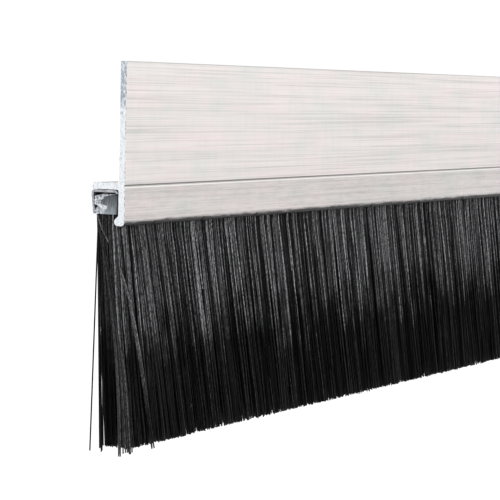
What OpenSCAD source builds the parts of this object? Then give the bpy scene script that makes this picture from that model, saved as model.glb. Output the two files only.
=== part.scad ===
// Brush door sweep: an extruded aluminium holder that is fixed to a door by its flange,
// and a steel-backed strip brush that sits under the holder's web.
//
// Frame: X runs along the sweep, +Y points at the door, +Z is up.
// The origin is the centre of the flange's back face, which lies on the door.
// Every profile below is drawn as [y, z] and then run along X.

/* [Sweep] */
// Length of the sweep, the width of a 36 inch door leaf
sweep_len = 914; // [300:1:1200]

/* [Holder] */
// Height of the whole holder, from the flange's top to the bead's bottom
holder_h = 41.4; // [41:0.1:48]
// Height of the flange above the web
flange_h = 30.5; // [20:0.1:31]
// Thickness of the flange
flange_t = 1.8; // [1.2:0.1:2.4]
// Depth of the web, from the front face to its back edge
web_depth = 9.8; // [9.6:0.1:12]
// Thickness of the web
web_t = 1.8; // [1.4:0.1:2]
// Thickness of the front leg
leg_t = 1.9; // [1.4:0.1:2]
// Width of the bead at the leg's foot, from the front face to its inner tip
bead_w = 3.1; // [2.4:0.1:3.2]
// Diameter of the bead's round tip
bead_d = 2.1; // [1.6:0.1:2.2]
// Radius of the leg's front lower corner
foot_r = 1.1; // [0.5:0.1:1.4]
// Radius of the fillet between the flange and the web
corner_r = 1.1; // [0.4:0.1:1.4]
// Radius on the web's upper back edge
web_edge_r = 1.1; // [0.4:0.1:1.2]
// Width of the V groove in the front face, level with the web
groove_w = 0.6; // [0.3:0.1:0.8]
// Depth of the V groove
groove_d = 0.3; // [0.1:0.05:0.4]

/* [Brush strip] */
// Width of the folded steel channel across its closed back
strip_w = 8; // [7.4:0.1:8.4]
// Height of the channel
strip_h = 6.1; // [6:0.05:6.3]
// Thickness of the channel's sheet
strip_t = 0.6; // [0.5:0.05:0.7]
// Outer radius of the channel's two folds
strip_r = 0.9; // [0.75:0.05:1]
// How far each wall is pinched in at the mouth
strip_pinch = 0.55; // [0.2:0.05:0.6]
// Diameter of the core wire that the filaments are folded over
wire_d = 1.8; // [1.4:0.1:2]
// Running gap between the channel and the holder
slide_gap = 0.1; // [0.05:0.01:0.15]

/* [Bristles] */
// Height of the curtain that shows below the channel's mouth
free_len = 60.4; // [40:0.1:80]
// Thickness of the curtain at its tips
tip_t = 9; // [6:0.1:12]
// Number of runs that the curtain is divided into along its length
run_count = 10; // [4:1:20]

/* [Hidden] */
RUN_NAMES = [for (i = [1:run_count]) str("bristles_", i < 10 ? "0" : "", i)];

$fn = 48;
cut = 0.5;                  // how far a cutter runs past the face that it cuts
edge_r = 0.3;               // small radius on the extrusion's free edges
inner_r = 0.4;              // fillet under the web, where the leg starts
fold_layer = 1;             // filaments packed between the wire and the channel's back
neck_half = 2.6;            // half the thickness of the pack where it passes the bead
neck_gap = 0.3;             // clearance of the pack from the bead's tip
cup_gap = 0.2;              // clearance round the curtain's rounded head
hinge_drop = 0.4;           // the flex axis lies this far below the bead
arc_steps = 6;              // facets in a fold of the sheet
bead_slope = 50;            // the bead's upper side leaves its round tip at this angle, in degrees
groove_share = 0.4;         // the groove lies this share of the web's thickness below its top

front_y = -flange_t;
leg_y = front_y + leg_t;
web_top = -flange_h / 2;
web_bottom = web_top - web_t;
holder_top = flange_h / 2;
bead_bottom = holder_top - holder_h;
groove_z = web_top - groove_share * web_t;
bead_r = bead_d / 2;
bead_c = [front_y + bead_w - bead_r, bead_bottom + bead_r];

strip_front = leg_y + slide_gap;
strip_mid = strip_front + strip_w / 2;
strip_top = web_bottom - slide_gap;
mouth_z = strip_top - strip_h;
wire_z = strip_top - strip_t - fold_layer - wire_d / 2;

neck_front = front_y + bead_w + neck_gap;
flex_y = neck_front + neck_half;
flex_z = bead_bottom - hinge_drop;
tip_z = mouth_z - free_len;
run_len = sweep_len / run_count;

// Points of an arc round c, from angle a0 to angle a1
function arc(c, r, a0, a1, steps = arc_steps) =
    [for (i = [0:steps]) let (a = a0 + (a1 - a0) * i / steps) c + r * [cos(a), sin(a)]];

// Half the channel's width at height z, on the outside of its pinched wall
function wall_half(z) =
    strip_w / 2 - strip_pinch * (strip_top - strip_r - z) / (strip_h - strip_r);

// Outline of the channel, moved in from its outside by inset and open down to z
function channel_points(inset, z) = concat(
    [[strip_mid + wall_half(z) - inset, z]],
    arc([strip_mid + strip_w / 2 - strip_r, strip_top - strip_r], strip_r - inset, 0, 90),
    arc([strip_mid - strip_w / 2 + strip_r, strip_top - strip_r], strip_r - inset, 90, 180),
    [[strip_mid - wall_half(z) + inset, z]]
);

// Runs a [y, z] profile along X, centred on x
module run_along(len, x = 0) {
    translate([x - len / 2, 0, 0])
        rotate([90, 0, 90])
            linear_extrude(height = len)
                children();
}

// A bar of size [w, h] with its corner at [y, z] and all four corners rounded
module bar(y, z, w, h, r) {
    translate([y + r, z]) square([w - 2 * r, h]);
    translate([y, z + r]) square([w, h - 2 * r]);
    for (cy = [y + r, y + w - r], cz = [z + r, z + h - r])
        translate([cy, cz]) circle(r);
}

// The fillet in an inside corner at [y, z], whose open side lies towards [side_y, side_z]
module fillet(y, z, r, side_y, side_z) {
    difference() {
        translate([y + (side_y < 0 ? -r : 0), z + (side_z < 0 ? -r : 0)]) square(r);
        translate([y + side_y * r, z + side_z * r]) circle(r);
    }
}

// The front leg with its bead. The bead's upper side slopes up to the leg's back face
function leg_points() = let (touch = bead_c + bead_r * [cos(bead_slope), sin(bead_slope)]) concat(
    [[front_y, web_bottom + web_t / 2]],
    arc([front_y + foot_r, bead_bottom + foot_r], foot_r, 180, 270),
    arc(bead_c, bead_r, 270, 360 + bead_slope, 2 * arc_steps),
    [[leg_y, touch[1] + (touch[0] - leg_y) / tan(bead_slope)], [leg_y, web_bottom + web_t / 2]]
);

// The extrusion: flange, web, front leg and the bead at the leg's foot
module holder_profile() {
    difference() {
        union() {
            bar(front_y, web_bottom, flange_t, flange_h + web_t, edge_r);
            bar(front_y, web_bottom, web_depth, web_t, edge_r);
            polygon(leg_points());
            fillet(0, web_top, corner_r, 1, 1);
            fillet(leg_y, web_bottom, inner_r, 1, -1);
        }
        fillet(front_y + web_depth, web_top, web_edge_r, -1, -1);
        translate([front_y, groove_z])
            polygon([[0, groove_w / 2], [groove_d, 0], [0, -groove_w / 2],
                [-cut, -groove_w / 2], [-cut, groove_w / 2]]);
    }
}

module holder() {
    color("gainsboro") run_along(sweep_len) holder_profile();
}

// The folded galvanised sheet that grips the filaments
module strip_channel() {
    color("silver")
        run_along(sweep_len)
            difference() {
                polygon(channel_points(0, mouth_z));
                polygon(channel_points(strip_t, mouth_z - cut));
            }
}

module core_wire() {
    color("dimgray")
        run_along(sweep_len)
            translate([strip_mid, wire_z]) circle(wire_d / 2);
}

// The filaments inside the channel, folded over the wire, and the pack down past the bead
module filament_roots() {
    color([0.08, 0.08, 0.09])
        run_along(sweep_len)
            difference() {
                union() {
                    polygon(channel_points(strip_t, mouth_z));
                    translate([flex_y - neck_half, flex_z])
                        square([2 * neck_half, mouth_z - flex_z]);
                }
                translate([strip_mid, wire_z]) circle(wire_d / 2);
                translate([flex_y, flex_z]) circle(neck_half + cup_gap);
            }
}

// One run of the free curtain, with a round head centred on the axis that it flexes about
module bristle_run(index) {
    color([0.05, 0.05, 0.055])
        run_along(run_len, (index + 0.5) * run_len - sweep_len / 2)
            polygon(concat(
                arc([flex_y, flex_z], neck_half, 0, 180, 2 * arc_steps),
                [[strip_mid - tip_t / 2, tip_z], [strip_mid + tip_t / 2, tip_z]]
            ));
}

holder();
strip_channel();
core_wire();
filament_roots();
for (i = [0:run_count - 1])
    bristle_run(i);
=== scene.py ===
"""Looks of the brush door sweep: mill-finish holder, sheared steel strip, wire and loose filaments.

Frame: metres, X along the sweep, +Y towards the door, +Z up. The near end is the one at -X.
"""
import bpy
import math
import numpy as np
from mathutils import Matrix, Vector


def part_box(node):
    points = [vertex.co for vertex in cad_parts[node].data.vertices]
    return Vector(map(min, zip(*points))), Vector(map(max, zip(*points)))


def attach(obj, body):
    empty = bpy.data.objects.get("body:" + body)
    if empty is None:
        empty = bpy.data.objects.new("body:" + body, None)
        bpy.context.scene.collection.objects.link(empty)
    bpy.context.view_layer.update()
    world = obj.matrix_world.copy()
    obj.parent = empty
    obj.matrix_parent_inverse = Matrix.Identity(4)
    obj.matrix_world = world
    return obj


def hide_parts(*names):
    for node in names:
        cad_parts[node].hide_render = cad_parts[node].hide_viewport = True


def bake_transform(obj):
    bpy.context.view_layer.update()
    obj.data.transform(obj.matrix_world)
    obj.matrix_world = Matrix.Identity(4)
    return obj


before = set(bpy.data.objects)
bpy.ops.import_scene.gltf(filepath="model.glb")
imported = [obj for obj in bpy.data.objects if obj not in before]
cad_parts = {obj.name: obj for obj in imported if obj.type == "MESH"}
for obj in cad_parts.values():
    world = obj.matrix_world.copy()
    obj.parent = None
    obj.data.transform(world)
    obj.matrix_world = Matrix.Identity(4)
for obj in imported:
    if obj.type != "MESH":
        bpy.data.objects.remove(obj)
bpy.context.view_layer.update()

MM = 0.001

# ---------------------------------------------------------------- sizes, in metres

holder_lo, holder_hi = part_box("holder")
strip_lo, strip_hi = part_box("strip_channel")
wire_lo, wire_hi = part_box("core_wire")
curtain_lo, curtain_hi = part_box("bristles_01")

END_NEAR, END_FAR = holder_lo.x, holder_hi.x
LENGTH = END_FAR - END_NEAR
FRONT, TOP = holder_lo.y, holder_hi.z
WEB_BACK, BEAD_BOTTOM = holder_hi.y, holder_lo.z

WEB_TOP = -TOP            # the frame's origin is the flange's middle
WEB_T = 1.8 * MM
LEG_Y = FRONT + 1.9 * MM
BEAD_TIP = FRONT + 3.1 * MM
BEAD_R = 1.05 * MM
BEAD_SLOPE = 50           # degrees, where the bead's upper side leaves its round tip
FOOT_R = 1.1 * MM
CORNER_R = 1.1 * MM       # fillet between the flange and the web
WEB_EDGE_R = 1.1 * MM     # the web's upper back edge
EDGE_R = 0.3 * MM
INNER_R = 0.4 * MM
GROOVE_W, GROOVE_D = 0.6 * MM, 0.3 * MM
GROOVE_Z = WEB_TOP - 0.4 * WEB_T

STRIP_T = 0.6 * MM
STRIP_R = 0.9 * MM
STRIP_PINCH = 0.55 * MM
STRIP_MID = (strip_lo.y + strip_hi.y) / 2
STRIP_HALF = (strip_hi.y - strip_lo.y) / 2
STRIP_TOP, MOUTH = strip_hi.z, strip_lo.z

WIRE_R = (wire_hi.z - wire_lo.z) / 2
WIRE_Z = (wire_hi.z + wire_lo.z) / 2

FILAMENT_R = 0.175 * MM
TIPS = curtain_lo.z
TIP_FRONT, TIP_BACK = curtain_lo.y, curtain_hi.y
TIP_MID, TIP_HALF = (TIP_FRONT + TIP_BACK) / 2, (TIP_BACK - TIP_FRONT) / 2

# The neck is where the pack of filaments passes the bead. A half is measured from the middle.
NECK_Z = BEAD_BOTTOM + BEAD_R
NECK_FRONT = BEAD_TIP + 0.3 * MM
NECK_BACK = NECK_FRONT + 5.2 * MM
NECK_MID, NECK_HALF = (NECK_FRONT + NECK_BACK) / 2, (NECK_BACK - NECK_FRONT) / 2
MOUTH_HALF = STRIP_HALF - STRIP_PINCH - STRIP_T - FILAMENT_R    # room for filaments' middles
RUNS = sorted(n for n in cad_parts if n.startswith("bristles_"))


# ---------------------------------------------------------------- mesh helpers

def new_object(name, vertices, faces, materials=(), smooth=True):
    """A mesh object from arrays of points and a list of faces."""
    mesh = bpy.data.meshes.new(name)
    mesh.from_pydata([tuple(v) for v in vertices], [], faces)
    mesh.update()
    for material in materials:
        mesh.materials.append(material)
    mesh.polygons.foreach_set("use_smooth", [smooth] * len(mesh.polygons))
    obj = bpy.data.objects.new(name, mesh)
    bpy.context.scene.collection.objects.link(obj)
    return obj


def arc(centre, radius, start, stop, steps):
    """Points on an arc in the YZ plane, angles in degrees."""
    angles = np.radians(np.linspace(start, stop, steps + 1))
    return [(centre[0] + radius * math.cos(a), centre[1] + radius * math.sin(a)) for a in angles]


def skin(name, rings, materials, sheet=False, end_slot=1):
    """Skins closed rings and caps both ends with the material end_slot.

    A sheet's ring runs up its outside and back down its inside, so its cap is a strip of quads.
    """
    rings = np.asarray(rings, float)
    count, size = rings.shape[:2]
    faces = []
    for i in range(count - 1):
        a, b = i * size, (i + 1) * size
        faces += [(a + j, b + j, b + (j + 1) % size, a + (j + 1) % size) for j in range(size)]
    sides = len(faces)
    last = (count - 1) * size
    if sheet:
        for j in range(size // 2 - 1):
            quad = (j, j + 1, size - 2 - j, size - 1 - j)
            faces.append(quad)
            faces.append(tuple(last + k for k in reversed(quad)))
    else:
        faces.append(tuple(range(size)))
        faces.append(tuple(reversed(range(last, last + size))))
    obj = new_object(name, rings.reshape(-1, 3), faces, materials)
    for face in obj.data.polygons[sides:]:
        face.use_smooth = False
        face.material_index = end_slot
    return obj


def sharpen(obj, angle):
    """Stops smooth shading at edges sharper than angle, in degrees."""
    obj.data.set_sharp_from_angle(angle=math.radians(angle))


def ease(x):
    """0 below 0, 1 above 1 and smooth between."""
    x = np.clip(x, 0, 1)
    return x * x * (3 - 2 * x)


def random_curve(seed, pitch):
    """A smooth random curve from -1 to 1 of distance along the sweep, with a new value every pitch."""
    values = np.random.default_rng(seed).uniform(-1, 1, int(LENGTH / pitch) + 8)

    def curve(x):
        place = np.clip(np.asarray(x) / pitch + 2, 0, len(values) - 2)
        low = np.floor(place).astype(int)
        t = ease(place - low)
        return values[low] * (1 - t) + values[low + 1] * t

    return curve


# ---------------------------------------------------------------- materials

LEG_TONE = 0.86           # the leg's brightness, where the flange's is 1
WHITE = (1.0, 1.0, 1.0)


class Nodes:
    """A short way to write a material's node tree."""

    def __init__(self, name):
        self.material = bpy.data.materials.new(name)
        self.material.use_nodes = True
        self.tree = self.material.node_tree
        self.shader = self.tree.nodes["Principled BSDF"]
        self.place = self.add("ShaderNodeTexCoord").outputs["Object"]

    def add(self, kind, **settings):
        node = self.tree.nodes.new(kind)
        for key, value in settings.items():
            setattr(node, key, value)
        return node

    def plug(self, value, socket):
        """Links an output to the socket, or sets the socket to a number or colour."""
        if isinstance(value, (int, float)):
            socket.default_value = value
        elif isinstance(value, tuple):
            socket.default_value = (*value, 1)
        else:
            self.tree.links.new(value, socket)

    def set(self, **values):
        for key, value in values.items():
            self.shader.inputs[key.replace("_", " ")].default_value = value

    def drive(self, **values):
        for key, value in values.items():
            self.plug(value, self.shader.inputs[key.replace("_", " ")])

    def noise(self, scale, detail=3.0, rough=0.5):
        """Noise whose scale is given for each axis, in cells per metre."""
        stretch = self.add("ShaderNodeMapping")
        stretch.inputs["Scale"].default_value = scale
        self.plug(self.place, stretch.inputs["Vector"])
        node = self.add("ShaderNodeTexNoise")
        node.inputs["Scale"].default_value = 1.0
        node.inputs["Detail"].default_value = detail
        node.inputs["Roughness"].default_value = rough
        self.plug(stretch.outputs["Vector"], node.inputs["Vector"])
        return node.outputs["Fac"]

    def axis(self, letter):
        split = self.add("ShaderNodeSeparateXYZ")
        self.plug(self.place, split.inputs["Vector"])
        return split.outputs[letter]

    def attribute(self, name):
        return self.add("ShaderNodeAttribute", attribute_name=name).outputs["Fac"]

    def ramp(self, value, *stops):
        """A colour ramp from (position, colour) stops."""
        node = self.add("ShaderNodeValToRGB")
        elements = node.color_ramp.elements
        while len(elements) < len(stops):
            elements.new(0.5)
        for element, (position, colour) in zip(elements, stops):
            element.position = position
            element.color = (*colour, 1)
        self.plug(value, node.inputs["Fac"])
        return node.outputs["Color"]

    def span(self, value, start, stop, low=0.0, high=1.0, smooth=False):
        """Maps start..stop to low..high, clamped."""
        node = self.add("ShaderNodeMapRange")
        if smooth:
            node.interpolation_type = "SMOOTHSTEP"
        ends = {"From Min": start, "From Max": stop, "To Min": low, "To Max": high}
        for key, number in ends.items():
            node.inputs[key].default_value = number
        self.plug(value, node.inputs["Value"])
        return node.outputs["Result"]

    def mix(self, factor, a, b, blend="MIX"):
        node = self.add("ShaderNodeMix", data_type="RGBA", blend_type=blend)
        self.plug(factor, node.inputs["Factor"])
        self.plug(a, node.inputs[6])
        self.plug(b, node.inputs[7])
        return node.outputs[2]

    def maths(self, operation, a, b=0.0):
        node = self.add("ShaderNodeMath", operation=operation)
        self.plug(a, node.inputs[0])
        self.plug(b, node.inputs[1])
        return node.outputs[0]

    def bump(self, height, strength, distance):
        node = self.add("ShaderNodeBump")
        node.inputs["Strength"].default_value = strength
        node.inputs["Distance"].default_value = distance
        self.plug(height, node.inputs["Height"])
        self.plug(node.outputs["Normal"], self.shader.inputs["Normal"])


def mill_aluminium():
    """Extruded face: die lines along X, faint warm and green clouds, a smudged leg, a foot and top edge
    darkened by painted shade, a painted shadow and glint at the groove.
    """
    n = Nodes("mill_aluminium")
    n.set(Metallic=0.8)
    hair = n.noise((22, 6500, 6500), 4.0, 0.65)
    fine = n.noise((14, 2900, 2900), 2.0, 0.6)
    band = n.noise((6, 1500, 1500), 3.0, 0.6)
    cloud = n.noise((70, 150, 150), 2.0, 0.5)
    streak = n.noise((9, 520, 520), 2.0, 0.5)
    upright = n.noise((420, 90, 90), 3.0, 0.6)
    stain = n.noise((170, 1300, 1300), 5.0, 0.7)
    green, plain, warm = (0.85, 0.84, 0.815), (0.90, 0.85, 0.83), (0.93, 0.85, 0.84)
    tint = n.ramp(cloud, (0.30, green), (0.5, plain), (0.70, warm))
    lines = n.ramp(fine, (0.34, (0.79, 0.80, 0.80)), (0.52, WHITE))
    bands = n.ramp(band, (0.34, (0.90, 0.91, 0.91)), (0.48, WHITE), (0.68, (1.0, 0.975, 0.97)))
    mottle = n.ramp(upright, (0.34, (0.955, 0.955, 0.96)), (0.56, WHITE))
    streaks = n.ramp(streak, (0.36, (0.88, 0.885, 0.89)), (0.58, WHITE))
    spots = n.ramp(stain, (0.32, (0.80, 0.80, 0.805)), (0.54, WHITE))
    colour = n.mix(0.85, tint, lines, "MULTIPLY")
    colour = n.mix(0.8, colour, bands, "MULTIPLY")
    colour = n.mix(0.5, colour, mottle, "MULTIPLY")
    colour = n.mix(0.4, colour, streaks, "MULTIPLY")
    height = n.axis("Z")
    leg = n.span(height, GROOVE_Z - 0.2 * MM, GROOVE_Z + 0.2 * MM, 0.6, 0.12)
    colour = n.mix(leg, colour, spots, "MULTIPLY")
    # Darker towards the groove and below it, a little brighter at the top.
    darker_downwards = n.span(height, GROOVE_Z, TOP, 0.86, 1.02)
    dulled = n.span(height, GROOVE_Z - 0.2 * MM, GROOVE_Z, LEG_TONE, 1.0)
    # Painted shade: the foot is darkened, with a ragged upper edge, where the dark bristles and the bead's
    # shadow would fall on it.
    ragged = n.maths("ADD", height, n.span(stain, 0.3, 0.7, 0.35 * MM, -0.35 * MM))
    painted_foot_shade = n.span(ragged, BEAD_BOTTOM + 0.65 * MM, BEAD_BOTTOM + 1.8 * MM, 0.02, 1.0, smooth=True)
    # Painted shade along the rounded top edge of the flange.
    painted_edge_shade = n.span(height, TOP - 0.35 * MM, TOP - 0.15 * MM, 1.0, 0.68)
    upper = n.span(height, GROOVE_Z - 0.02 * MM, GROOVE_Z + 0.02 * MM, 0.0, 1.0)
    groove_top = GROOVE_Z + GROOVE_W / 2
    in_groove = n.span(height, groove_top, groove_top + 0.03 * MM, 1.0, 0.0)
    shadow = n.span(n.maths("MULTIPLY", upper, in_groove), 0, 1, 1.0, 0.28)
    for tone in (darker_downwards, dulled, painted_foot_shade, painted_edge_shade, shadow):
        colour = n.mix(1.0, colour, tone, "MULTIPLY")
    below = n.maths("ABSOLUTE", n.maths("SUBTRACT", height, GROOVE_Z - 0.32 * MM))
    glint = n.span(below, 0.20 * MM, 0.34 * MM, 1.0, 0.0)
    colour = n.mix(n.maths("MULTIPLY", glint, 0.65), colour, (1.0, 0.99, 0.97))
    n.drive(Base_Color=colour, Roughness=n.span(hair, 0.3, 0.7, 0.36, 0.50))
    n.bump(hair, 0.10, 0.02 * MM)
    return n.material


def saw_cut_aluminium():
    """Sawn end: bright and cool below, smeared blue-grey towards the flange's top."""
    n = Nodes("saw_cut_aluminium")
    n.set(Metallic=0.6)
    teeth = n.noise((1, 2400, 2000), 3.0, 0.6)
    smear = n.noise((1, 1700, 900), 4.0, 0.65)
    high = n.span(n.axis("Z"), -4 * MM, 9 * MM, 0.0, 1.0, smooth=True)
    dull = n.maths("ADD", high, n.span(smear, 0.3, 0.7, -1.1, 0.7))
    bright, cool, smeared = (0.92, 0.95, 0.98), (0.60, 0.66, 0.73), (0.42, 0.46, 0.52)
    base = n.ramp(dull, (0.25, bright), (0.55, cool), (0.95, smeared))
    marks = n.ramp(teeth, (0.30, (0.66, 0.68, 0.71)), (0.55, WHITE))
    colour = n.mix(0.75, base, marks, "MULTIPLY")
    n.drive(Base_Color=colour, Roughness=n.span(teeth, 0.2, 0.8, 0.38, 0.62))
    n.bump(teeth, 0.35, 0.05 * MM)
    return n.material


def burred_aluminium():
    """The fine burr round a sawn end: a dotted dark and bright line."""
    n = Nodes("burred_aluminium")
    n.set(Metallic=0.6, Roughness=0.5)
    dots = n.noise((900, 2600, 1500), 2.0, 0.6)
    n.drive(Base_Color=n.ramp(dots, (0.40, (0.10, 0.11, 0.12)), (0.52, (0.74, 0.75, 0.77))))
    return n.material


def galvanised_steel():
    """Zinc coat: grey spangle with dull and bright patches."""
    n = Nodes("galvanised_steel")
    n.set(Metallic=0.85)
    cells = n.add("ShaderNodeTexVoronoi")
    cells.inputs["Scale"].default_value = 700
    n.plug(n.place, cells.inputs["Vector"])
    patches = n.noise((900, 900, 900), 4.0, 0.6)
    spangle = n.ramp(cells.outputs["Color"], (0.1, (0.36, 0.37, 0.39)), (0.9, (0.60, 0.62, 0.64)))
    dull = n.ramp(patches, (0.35, (0.58, 0.58, 0.59)), (0.62, WHITE))
    colour = n.mix(0.85, spangle, dull, "MULTIPLY")
    n.drive(Base_Color=colour, Roughness=n.span(patches, 0.3, 0.7, 0.32, 0.6))
    n.bump(patches, 0.25, 0.04 * MM)
    return n.material


def dragged_steel():
    """Coat that the cutter dragged over the end: dark blue-grey with upright scores."""
    n = Nodes("dragged_steel")
    n.set(Metallic=0.7)
    scores = n.noise((2600, 3000, 420), 3.0, 0.6)
    low = n.span(n.axis("Z"), STRIP_TOP, MOUTH, 0.0, 1.0)
    tone = n.maths("ADD", n.span(scores, 0.3, 0.7, -0.3, 0.3), low)
    dark, middle, light = (0.05, 0.06, 0.065), (0.15, 0.165, 0.18), (0.32, 0.35, 0.38)
    colour = n.ramp(tone, (0.05, dark), (0.6, middle), (1.0, light))
    n.drive(Base_Color=colour, Roughness=n.span(scores, 0.3, 0.7, 0.35, 0.6))
    n.bump(scores, 0.5, 0.08 * MM)
    return n.material


def torn_steel():
    """Fresh steel along the tear: bright, with dark pits."""
    n = Nodes("torn_steel")
    n.set(Metallic=0.7)
    pits = n.noise((1500, 1700, 1300), 4.0, 0.65)
    dark, middle, bright = (0.08, 0.09, 0.10), (0.40, 0.42, 0.46), (0.80, 0.83, 0.88)
    colour = n.ramp(pits, (0.36, dark), (0.45, middle), (0.60, bright))
    n.drive(Base_Color=colour, Roughness=n.span(pits, 0.3, 0.7, 0.55, 0.35))
    n.bump(pits, 0.7, 0.15 * MM)
    return n.material


def black_filament():
    """Black plastic: each filament has its own shade, greyed above by a painted highlight and black at its
    tip.
    """
    n = Nodes("black_filament")
    n.set(Specular_IOR_Level=0.05)
    shade, reach = n.attribute("shade"), n.attribute("reach")
    patch = n.noise((150, 150, 70), 3.0, 0.6)
    flecks = n.noise((3000, 3000, 1300), 2.0, 0.6)
    # Painted highlight: each filament is lighter on its upper part and fades to black towards the tip;
    # brighter filaments keep it further down.
    lit = n.maths("ADD", reach, n.span(patch, 0.3, 0.7, -0.13, 0.13))
    lit = n.maths("SUBTRACT", lit, n.maths("MULTIPLY", shade, 0.15))
    painted_highlight_fade = n.span(lit, 0.24, 0.57, 1.0, 0.09, smooth=True)
    # Each filament's own tone; the light end of the ramp also stands in for painted highlights on single
    # lit filaments.
    grey = n.ramp(shade, (0.0, (0.002, 0.002, 0.002)), (0.3, (0.028, 0.028, 0.029)),
                  (0.6, (0.135, 0.135, 0.14)), (1.0, (0.34, 0.34, 0.35)))
    flecked_highlight = n.maths("MULTIPLY", painted_highlight_fade, n.span(flecks, 0.36, 0.64, 0.25, 1.55))
    highlighted_grey = n.mix(1.0, grey, flecked_highlight, "MULTIPLY")
    colour = n.mix(1.0, highlighted_grey, (0.0005, 0.0007, 0.0006), "ADD")
    n.drive(Base_Color=colour, Roughness=n.span(shade, 0, 1, 0.50, 0.38))
    return n.material


def studio_floor():
    """A plain pale floor."""
    n = Nodes("studio_floor")
    n.set(Roughness=0.9)
    n.drive(Base_Color=n.ramp(n.noise((3, 3, 3)), (0, (0.93, 0.93, 0.93)), (1, (0.95, 0.95, 0.95))))
    return n.material


# ---------------------------------------------------------------- holder

SAW_SLOT, BURR_SLOT = 1, 2    # places in the holder's list of materials
BURR = 0.10 * MM              # width of the burr round a sawn end
END_INSET = 0.09 * MM         # how far the sawn face is drawn in by it
NICK_LONG = 0.5 * MM          # half length of a nick along the sweep
NICK_WIDE = 0.8 * MM          # and round the leg's lower edge
NICK_PUSH = np.array([0.75, 0.65])    # a nick moves metal inwards and up


def holder_outline():
    """The extrusion's section as (y, z) points, in one turn from the flange's front top edge."""
    web_bottom = WEB_TOP - WEB_T
    bead = (BEAD_TIP - BEAD_R, BEAD_BOTTOM + BEAD_R)
    touch = arc(bead, BEAD_R, BEAD_SLOPE, BEAD_SLOPE, 1)[0]
    slope_top = touch[1] + (touch[0] - LEG_Y) / math.tan(math.radians(BEAD_SLOPE))
    return [
        *arc((FRONT + EDGE_R, TOP - EDGE_R), EDGE_R, 180, 90, 4),
        *arc((-EDGE_R, TOP - EDGE_R), EDGE_R, 90, 0, 4),
        *arc((CORNER_R, WEB_TOP + CORNER_R), CORNER_R, 180, 270, 8),
        *arc((WEB_BACK - WEB_EDGE_R, WEB_TOP - WEB_EDGE_R), WEB_EDGE_R, 90, 0, 8),
        *arc((WEB_BACK - EDGE_R, web_bottom + EDGE_R), EDGE_R, 0, -90, 4),
        *arc((LEG_Y + INNER_R, web_bottom - INNER_R), INNER_R, 90, 180, 4),
        (LEG_Y, slope_top),
        *arc(bead, BEAD_R, BEAD_SLOPE, -90, 12),
        *arc((FRONT + FOOT_R, BEAD_BOTTOM + FOOT_R), FOOT_R, -90, -180, 10),
        (FRONT, GROOVE_Z - GROOVE_W / 2),
        (FRONT + GROOVE_D, GROOVE_Z),
        (FRONT, GROOVE_Z + GROOVE_W / 2),
    ]


def inset(section, depth):
    """The section moved inwards by depth along its own normals."""
    along = np.roll(section, -1, 0) - np.roll(section, 1, 0)
    along /= np.linalg.norm(along, axis=1, keepdims=True)
    return section + depth * np.stack([along[:, 1], -along[:, 0]], 1)


def nick_places(rng):
    """Distances from the near end of the small knocks in the leg's lower edge."""
    near = [14, 38, 67, 138, 172]
    far = near[-1] + np.cumsum(rng.uniform(28, 74, 20))
    places = near + [d for d in far if d < LENGTH / MM - 10]
    return [d * MM for d in places]


def holder_stations(nicks):
    """Where the sections stand: evenly, and closer together at the ends and at each nick."""
    places = [0, BURR, LENGTH - BURR, LENGTH, *np.linspace(1 * MM, LENGTH - 1 * MM, 220)]
    for at in nicks:
        places += list(at + np.linspace(-1.2, 1.2, 13) * MM)
    return np.unique(np.round(places, 7))


def nick_moves(section, along, deepest):
    """How far one nick moves each point of the section, along being in half lengths from its middle."""
    low_edge = np.array([FRONT + 0.4 * MM, BEAD_BOTTOM + 0.5 * MM])
    across = np.hypot(*(section - low_edge).T) / NICK_WIDE
    depth = deepest * np.exp(-along ** 2) * np.exp(-across ** 2)
    return depth[:, None] * NICK_PUSH


def make_holder():
    """The extrusion: one section run along X, with a burr at both ends and nicks in its lower edge."""
    rng = np.random.default_rng(11)
    section = np.array(holder_outline())
    nicks = nick_places(rng)
    stations = holder_stations(nicks)
    rings = []
    for s in stations:
        at_end = s in (stations[0], stations[-1])
        ring = inset(section, END_INSET) if at_end else section.copy()
        for k, at in enumerate(nicks):
            along = (s - at) / NICK_LONG
            if abs(along) <= 2.5:
                ring += nick_moves(section, along, (0.22 + 0.06 * (k % 3)) * MM)
        rings.append([(END_NEAR + s, y, z) for y, z in ring])
    materials = [mill_aluminium(), saw_cut_aluminium(), burred_aluminium()]
    obj = skin("holder_extrusion", rings, materials, end_slot=SAW_SLOT)
    size, count = len(section), len(stations)
    for first in (0, size * (count - 2)):
        for face in obj.data.polygons[first:first + size]:
            face.material_index = BURR_SLOT
    sharpen(obj, 32)
    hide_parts("holder")
    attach(obj, "holder")


# ---------------------------------------------------------------- strip channel

BEND_R = 0.8 * MM         # outer radius where the front wall turns across the near end
END_PLANE = -0.15 * MM    # where the turned wall stands, from the near end
SETTLE = 14 * MM          # the wall is straight and unmoved from here on
CRUSH = 2.2 * MM          # the sheet is rough and buckled up to here
OUTSIDE, INSIDE = 1, 2    # the two faces of the front wall in the section
COAT_SLOT, TORN_SLOT, DRAGGED_SLOT = 0, 1, 2    # places in the channel's list of materials


def wall_half(z):
    """Half the channel's outside width at height z."""
    down = np.clip((STRIP_TOP - STRIP_R - z) / (STRIP_TOP - STRIP_R - MOUTH), 0, 1)
    return STRIP_HALF - STRIP_PINCH * down


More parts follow.
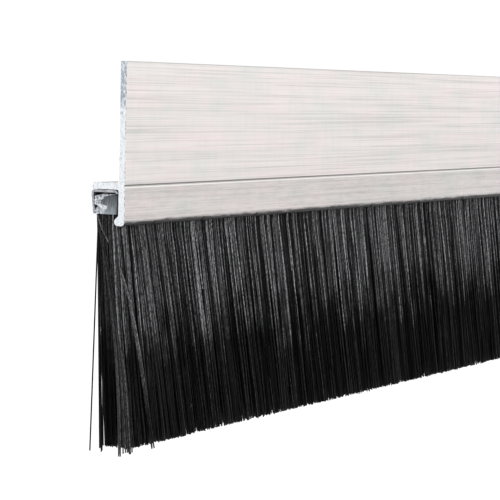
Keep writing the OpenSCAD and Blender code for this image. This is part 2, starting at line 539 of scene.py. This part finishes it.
def channel_section(steps=26):
    """The bent sheet's (y, z) points, and for each OUTSIDE or INSIDE on the front wall, 0 elsewhere."""
    front, back = STRIP_MID - STRIP_HALF + STRIP_R, STRIP_MID + STRIP_HALF - STRIP_R
    fold = STRIP_TOP - STRIP_R
    drop = np.linspace(MOUTH, fold, steps + 1)
    inner = STRIP_R - STRIP_T
    rows = [(STRIP_MID - wall_half(z), z, OUTSIDE) for z in drop]
    rows += [(y, z, 0) for y, z in arc((front, fold), STRIP_R, 180, 90, 6)[1:]]
    rows += [(y, z, 0) for y, z in arc((back, fold), STRIP_R, 90, 0, 6)]
    rows += [(STRIP_MID + wall_half(z), z, 0) for z in drop[::-1][1:]]
    rows += [(STRIP_MID + wall_half(z) - STRIP_T, z, 0) for z in drop]
    rows += [(y, z, 0) for y, z in arc((back, fold), inner, 0, 90, 6)[1:]]
    rows += [(y, z, 0) for y, z in arc((front, fold), inner, 90, 180, 6)]
    rows += [(STRIP_MID - wall_half(z) + STRIP_T, z, INSIDE) for z in drop[::-1][1:]]
    rows = np.array(rows)
    return rows[:, :2], rows[:, 2]


def flap_length(height):
    """How far the front wall was dragged across the end, at heights from 0 (top) to 1 (mouth)."""
    jag = random_curve(21, 0.045)(height) * 0.45 * MM
    bite = 1.3 * MM * np.exp(-((height - 0.70) / 0.07) ** 2)
    torn = ease((height - 0.15) / 0.05)
    return torn * (3.7 * MM + 1.9 * MM * ease(height / 0.35) - bite + jag)


def turned(s, y, height, outside):
    """Where points of the front wall land, as (x, y), when its end is turned across the opening."""
    length = flap_length(height)
    turn = BEND_R * math.pi / 2
    radius = BEND_R if outside else BEND_R - STRIP_T
    centre_x = END_PLANE + BEND_R
    centre_y = y + radius
    angle = np.clip((length + turn - s) / BEND_R, 0, math.pi / 2)
    flat = np.clip(length - s, 0, None)
    straight = np.clip((s - length - turn) / (SETTLE - length - turn), 0, None)
    x = centre_x - radius * np.sin(angle) + straight * (SETTLE - centre_x)
    curl = 0.42 * MM * ease((1.5 * MM - s) / (1.5 * MM)) * (length > 1 * MM)
    return x - curl, centre_y - radius * np.cos(angle) + flat


def make_channel():
    """The folded sheet, with its front wall torn and turned across the near end."""
    section, wall = channel_section()
    stations = np.concatenate([np.linspace(0, SETTLE, 64), np.linspace(SETTLE, LENGTH, 150)[1:]])
    height = np.clip((STRIP_TOP - section[:, 1]) / (STRIP_TOP - MOUTH), 0, 1)
    rough = np.random.default_rng(5).normal(0, 1, (len(stations), len(section)))
    rings = []
    for i, s in enumerate(stations):
        x = np.full(len(section), s)
        y, z = section.T.copy()
        if s < SETTLE:
            for side in (OUTSIDE, INSIDE):
                on = wall == side
                x[on], y[on] = turned(s, y[on], height[on], side == OUTSIDE)
            near = ease(1 - s / CRUSH)
            x = x + rough[i] * 0.045 * MM * near * (wall > 0)
            y = y + 0.05 * MM * near * np.sin(z / MM * 5 + 1)
        rings.append(np.stack([END_NEAR + x, y, z], 1))
    materials = [galvanised_steel(), torn_steel(), dragged_steel()]
    obj = skin("strip_channel_sheet", rings, materials, sheet=True, end_slot=COAT_SLOT)
    size = len(section)
    lengths = flap_length(height)
    for face in obj.data.polygons[:size * (len(stations) - 1)]:
        i, j = divmod(face.index, size)
        if wall[j] and stations[i] < lengths[j] + 2 * BEND_R:
            torn_width = (2.3 + 0.8 * math.sin(height[j] * 9)) * MM
            face.material_index = TORN_SLOT if stations[i] < torn_width else DRAGGED_SLOT
    sharpen(obj, 40)
    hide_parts("strip_channel")
    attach(obj, "brush_strip")


def make_wire():
    """The core wire, cut back from the crushed end and pinched flat by the cutter."""
    start, pinch_end = 1.4 * MM, 2.6 * MM
    stations = np.concatenate([np.linspace(start, pinch_end, 7), np.linspace(3 * MM, LENGTH, 120)])
    angles = np.radians(np.arange(0, 360, 20))
    rings = []
    for s in stations:
        pinch = np.clip((pinch_end - s) / (pinch_end - start), 0, 1)
        y = STRIP_MID + WIRE_R * np.cos(angles) * (1 + 0.15 * pinch)
        z = WIRE_Z + WIRE_R * np.sin(angles) * (1 - 0.8 * pinch)
        rings.append(np.stack([np.full_like(y, END_NEAR + s), y, z], 1)[::-1])
    obj = skin("core_wire_drawn", rings, [galvanised_steel(), torn_steel()])
    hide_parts("core_wire")
    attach(obj, "brush_strip")


# ---------------------------------------------------------------- filaments

LEAN = 12.5 * MM          # how far the tips are carried along the sweep
END_LEAN = 0.50           # share of that at the very end, where the filaments hang freer
END_STRETCH = 16 * MM     # and over how much of the sweep it grows to the full lean
LOOP_RINGS = 5
GOLDEN = (math.sqrt(5) - 1) / 2
NEAR_END = 22 * MM        # the camera is close up to here, so filaments are denser and rounder
BARE_END = 0.7 * MM       # no ordinary filament is rooted nearer to an end
# Filaments for each mm of the sweep, points along a free leg, and sides of a filament's tube
NEAR_MAKE = {"per_mm": 19, "steps": 13, "sides": 6}
FAR_MAKE = {"per_mm": 9.4, "steps": 10, "sides": 4}

clump_x = random_curve(31, 1.7 * MM)
clump_fine = random_curve(32, 0.6 * MM)
clump_y = random_curve(33, 1.3 * MM)
clump_shade = random_curve(34, 0.55 * MM)


def tubes(name, paths, radii, shades, fades, sides, material):
    """One mesh of closed tubes along paths, an array of (count, rings, 3)."""
    count, rings = paths.shape[:2]
    ahead = np.gradient(paths, axis=1)
    ahead /= np.linalg.norm(ahead, axis=2, keepdims=True)
    across = np.zeros_like(ahead)
    across[..., 0] = 1
    across -= ahead * (across * ahead).sum(2, keepdims=True)
    across /= np.linalg.norm(across, axis=2, keepdims=True)
    other = np.cross(ahead, across)
    angles = np.arange(sides) * 2 * np.pi / sides
    cosines, sines = np.cos(angles)[:, None], np.sin(angles)[:, None]
    ring = across[:, :, None] * cosines + other[:, :, None] * sines
    points = paths[:, :, None] + ring * radii[:, None, None, None]
    grid = np.arange(count * rings * sides).reshape(count, rings, sides)
    beside = np.roll(grid, -1, axis=2)
    quads = np.stack([grid[:, :-1], beside[:, :-1], beside[:, 1:], grid[:, 1:]], -1).reshape(-1, 4)
    caps = np.concatenate([grid[:, 0, ::-1], grid[:, -1]])
    mesh = bpy.data.meshes.new(name)
    mesh.vertices.add(points.size // 3)
    mesh.vertices.foreach_set("co", points.ravel())
    loops = np.concatenate([quads.ravel(), caps.ravel()])
    mesh.loops.add(len(loops))
    mesh.loops.foreach_set("vertex_index", loops)
    mesh.polygons.add(len(quads) + len(caps))
    quad_starts = np.arange(len(quads)) * 4
    cap_starts = len(quads) * 4 + np.arange(len(caps)) * sides
    starts = np.concatenate([quad_starts, cap_starts])
    mesh.polygons.foreach_set("loop_start", starts)
    mesh.polygons.foreach_set("use_smooth", [True] * len(quads) + [False] * len(caps))
    mesh.update(calc_edges=True)
    reach = np.clip((MOUTH - points[..., 2]) / (MOUTH - TIPS), 0, 1) * fades[:, None, None]
    write_attribute(mesh, "shade", np.repeat(shades, rings * sides))
    write_attribute(mesh, "reach", reach.ravel())
    mesh.materials.append(material)
    obj = bpy.data.objects.new(name, mesh)
    bpy.context.scene.collection.objects.link(obj)
    return obj


def write_attribute(mesh, name, values):
    """Stores one number for each point, for the material to read."""
    attribute = mesh.attributes.new(name, "FLOAT", "POINT")
    attribute.data.foreach_set("value", values.astype(np.float32))


def lean_at(root):
    """How far along X the tips of filaments rooted that far from the near end are carried."""
    near = ease(root / END_STRETCH)
    far = ease((LENGTH - root) / END_STRETCH)
    return LEAN * (END_LEAN + (1 - END_LEAN) * near) * (0.55 + 0.45 * far)


def free_legs(rng, root, mouth_y, steps):
    """Paths of free legs from the channel's mouth to the trimmed tips, as (count, steps, 3)."""
    count = len(root)
    t = np.linspace(0, 1, steps)[None, :]
    place = (mouth_y - STRIP_MID) / MOUTH_HALF
    neck = NECK_MID + place * (NECK_HALF - FILAMENT_R)
    tip = TIP_MID + place * (TIP_HALF - FILAMENT_R) * 0.95
    tip = tip + rng.normal(0, 0.3, count) * MM + 0.32 * MM * clump_y(root)
    trim = np.abs(rng.normal(0, 0.14, count))
    missed = rng.random(count) < 0.006
    trim = trim + missed * rng.uniform(0.3, 1.2, count)
    end_z = TIPS + trim * MM
    z = MOUTH + (end_z - MOUTH)[:, None] * t ** 1.12
    to_neck = np.clip((MOUTH - z) / (MOUTH - NECK_Z), 0, 1)
    below = np.clip((NECK_Z - z) / (NECK_Z - end_z)[:, None], 0, 1)
    bow = np.sin(np.pi * below)
    y = mouth_y[:, None] + (neck - mouth_y)[:, None] * to_neck + (tip - neck)[:, None] * below ** 0.85
    bow_y = rng.normal(0, 0.2, count) * MM + 0.20 * MM * clump_y(root + 0.5 * MM)
    y = y + bow_y[:, None] * bow
    clump = 0.55 * clump_x(root) + 0.25 * clump_fine(root)
    lean = lean_at(root) + (clump + rng.normal(0, 0.40, count)) * MM
    bow_x = rng.normal(0, 0.25, count) * MM
    x = root[:, None] + lean[:, None] * below ** 1.06 + bow_x[:, None] * bow
    wobble = rng.normal(0, 0.05, (2, count, steps)) * MM * (below > 0.02) * (below < 0.99)
    return np.stack([END_NEAR + x + wobble[0], y + wobble[1], z], 2)


def loops_over_wire(root, layer):
    """The folded stretch over the core wire, as (count, LOOP_RINGS, 3)."""
    radius = WIRE_R + FILAMENT_R + layer * 0.7 * MM
    angles = np.linspace(math.pi, 0, LOOP_RINGS)[None, :]
    x = np.broadcast_to(END_NEAR + root[:, None], (len(root), LOOP_RINGS))
    y = STRIP_MID + radius[:, None] * np.cos(angles)
    z = WIRE_Z + radius[:, None] * np.sin(angles)
    return np.stack([x, y, z], 2)


def folded(rng, root, steps):
    """Whole filaments, folded over the wire at root, with both of their free legs."""
    order = np.arange(len(root)) * GOLDEN + rng.uniform(0, 0.25, len(root))
    layer = (order % 1) ** 0.8
    innermost = 0.15 * MM
    spread = innermost + layer * (MOUTH_HALF - innermost)
    front = free_legs(rng, root, STRIP_MID - spread, steps)
    back = free_legs(rng, root, STRIP_MID + spread, steps)
    return np.concatenate([front[:, ::-1], loops_over_wire(root, layer), back], 1)


# Bundles of legs at the near end that hang apart from the pack. In mm: how many, distance of the
# root from the end, where the tips are (x from the end, y), how early they swing there (1 is
# straight), how far they pass the trimmed line, how far they spread, then their shade and how much
# they darken towards the tip.
BUNDLES = [
    (1, 0.80, 0.2, 7.6, 1.0, 0.2, 0.0, 0.05, 1.0),
    (9, 0.60, 5.4, 7.7, 1.0, 0.3, 0.5, 0.25, 1.0),
    (4, 0.36, 17.2, -0.6, 5.0, 1.1, 0.8, 0.72, 0.7),
    (15, 0.44, 5.4, -0.1, 2.2, 1.1, 3.8, 0.42, 0.4),
    (2, 0.50, 2.4, 5.4, 1.2, 0.6, 0.4, 0.30, 1.0),
]


def stray_legs(rng, steps):
    """The bundles' filaments, whole: back legs follow the list, front legs hang with the rest."""
    rows = np.array([row for row in BUNDLES for _ in range(row[0])])
    _, root, tip_x, tip_y, swing, past, spread, shade, fade = rows.T
    tip_x = tip_x + rng.uniform(-1, 1, len(rows)) * spread
    tip_y = tip_y + rng.uniform(-0.4, 0.4, len(rows)) * np.minimum(spread, 1)
    shade = shade * rng.uniform(0.6, 1.2, len(rows))
    past = past * rng.uniform(0.5, 1.2, len(rows))
    root = root * MM
    layer = np.full(len(root), 0.92)
    offset = layer * MOUTH_HALF
    front = free_legs(rng, root, STRIP_MID - offset, steps)
    back = free_legs(rng, root, STRIP_MID + offset, steps)
    top = back[:, :1]
    t = np.clip((NECK_Z - back[:, :, 2]) / (NECK_Z - TIPS), 0, 1)
    hang = t > 0
    x = top[:, :, 0] + (END_NEAR + tip_x[:, None] * MM - top[:, :, 0]) * t
    neck = NECK_MID + 0.9 * NECK_HALF
    y = tip_y[:, None] * MM + (neck - tip_y[:, None] * MM) * (1 - t) ** swing[:, None]
    back[:, :, 0] = np.where(hang, x, back[:, :, 0])
    back[:, :, 1] = np.where(hang, y, back[:, :, 1])
    back[:, :, 2] -= past[:, None] * MM * t
    paths = np.concatenate([front[:, ::-1], loops_over_wire(root, layer), back], 1)
    return paths, shade, fade


def make_run(name, nodes, seed, start, stop, material, per_mm, steps, sides, with_strays=False):
    """The filaments rooted from start to stop, as one piece."""
    rng = np.random.default_rng(seed)
    count = int((stop - start) / MM * per_mm)
    root = start + (stop - start) * (np.arange(count) + rng.random(count)) / count
    paths = folded(rng, root, steps)
    shades = np.clip(rng.random(len(root)) ** 1.15 * (0.84 + 0.25 * clump_shade(root)), 0, 1)
    # Painted shade: filaments rooted within 3.5 mm of the near end are made darker.
    shades *= 0.45 + 0.55 * ease(root / (3.5 * MM))
    fades = np.ones(len(root))
    if with_strays:
        apart, apart_shades, apart_fades = stray_legs(rng, steps)
        paths = np.concatenate([paths, apart])
        shades = np.concatenate([shades, apart_shades])
        fades = np.concatenate([fades, apart_fades])
    radii = FILAMENT_R * rng.uniform(0.88, 1.12, len(paths))
    obj = tubes(name, paths, radii, shades, fades, sides, material)
    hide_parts(*nodes)
    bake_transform(obj)


def make_filaments():
    """The near end's filaments, with the loose bundles, and then one piece for each CAD run."""
    material = black_filament()
    run = LENGTH / len(RUNS)
    nodes = (RUNS[0], "filament_roots")
    make_run("filaments_near_end", nodes, 100, BARE_END, NEAR_END, material, **NEAR_MAKE, with_strays=True)
    for i, node in enumerate(RUNS):
        start = NEAR_END if i == 0 else i * run
        stop = (i + 1) * run - (BARE_END if i == len(RUNS) - 1 else 0)
        make_run(f"filaments_{i + 1:02d}", (node,), 101 + i, start, stop, material, **FAR_MAKE)


# ---------------------------------------------------------------- studio

TENT_FRONT = 0.67         # brightness of the white tent in front of the sweep
TENT_BACK = 0.82          # and behind it
BACKDROP = 1.02           # and as the camera sees it
TOP_LIGHT = 0.9
KEY_LIGHT = 1.2           # from in front of the sweep and above
CAMERA_LENS = 154.4       # in mm, on a 36 mm sensor
CAMERA_TURN = (29.77, -4.20, 1.21)              # yaw, pitch and roll in degrees
CAMERA_PLACE = (-0.4497, -0.2937, 0.0240)       # from the groove at the near end
FLOOR_DROP = 0.30         # below the filaments' tips
FLOOR_REACH = 40


def make_camera():
    """The photograph's view: from in front of the near end, nearly along the sweep."""
    yaw, pitch, roll = (math.radians(angle) for angle in CAMERA_TURN)
    near = Vector((END_NEAR, FRONT, GROOVE_Z))
    level = math.cos(pitch)
    ahead = Vector((level * math.cos(yaw), level * math.sin(yaw), math.sin(pitch)))
    right = ahead.cross(Vector((0, 0, 1))).normalized()
    up = right.cross(ahead)
    side = right * math.cos(roll) + up * math.sin(roll)
    top = up * math.cos(roll) - right * math.sin(roll)
    data = bpy.data.cameras.new("camera")
    data.lens = CAMERA_LENS
    data.clip_start = 0.01
    data.clip_end = 200
    camera = bpy.data.objects.new("camera", data)
    turn = Matrix((side, top, -ahead)).transposed().to_4x4()
    camera.matrix_world = Matrix.Translation(near + Vector(CAMERA_PLACE)) @ turn
    bpy.context.scene.collection.objects.link(camera)
    bpy.context.scene.camera = camera


def make_world():
    """A white tent, dimmer on the side that the front face looks at, before a plain backdrop."""
    world = bpy.data.worlds.new("studio")
    world.use_nodes = True
    tree = world.node_tree
    background = tree.nodes["Background"]
    direction = tree.nodes.new("ShaderNodeTexCoord")
    split = tree.nodes.new("ShaderNodeSeparateXYZ")
    tent = tree.nodes.new("ShaderNodeMapRange")
    tent.inputs["From Min"].default_value = -0.75
    tent.inputs["From Max"].default_value = 0.35
    tent.inputs["To Min"].default_value = TENT_FRONT
    tent.inputs["To Max"].default_value = TENT_BACK
    seen = tree.nodes.new("ShaderNodeLightPath")
    strength = tree.nodes.new("ShaderNodeMix")
    strength.inputs["B"].default_value = BACKDROP
    tree.links.new(direction.outputs["Generated"], split.inputs["Vector"])
    tree.links.new(split.outputs["Y"], tent.inputs["Value"])
    tree.links.new(tent.outputs["Result"], strength.inputs["A"])
    tree.links.new(seen.outputs["Is Camera Ray"], strength.inputs["Factor"])
    tree.links.new(strength.outputs["Result"], background.inputs["Strength"])
    background.inputs["Color"].default_value = (1, 1, 1, 1)
    bpy.context.scene.world = world


def make_floor():
    """One wide square below the sweep."""
    turns = ((-1, -1), (1, -1), (1, 1), (-1, 1))
    corners = [(x * FLOOR_REACH, y * FLOOR_REACH, TIPS - FLOOR_DROP) for x, y in turns]
    new_object("studio_floor", corners, [(0, 1, 2, 3)], [studio_floor()])


def make_light(name, strength, spread, towards):
    """A soft distant light that shines along towards, spread over an angle in degrees."""
    light = bpy.data.lights.new(name, "SUN")
    light.energy = strength
    light.angle = math.radians(spread)
    obj = bpy.data.objects.new(name, light)
    obj.rotation_euler = Vector(towards).to_track_quat("-Z", "Y").to_euler()
    bpy.context.scene.collection.objects.link(obj)


bpy.context.scene.view_settings.view_transform = "Standard"
make_camera()
make_world()
make_floor()
make_light("top_light", TOP_LIGHT, 60, (0, 0, -1))
make_light("key_light", KEY_LIGHT, 40, (-0.1, 0.9, -0.35))
make_holder()
make_channel()
make_wire()
make_filaments()
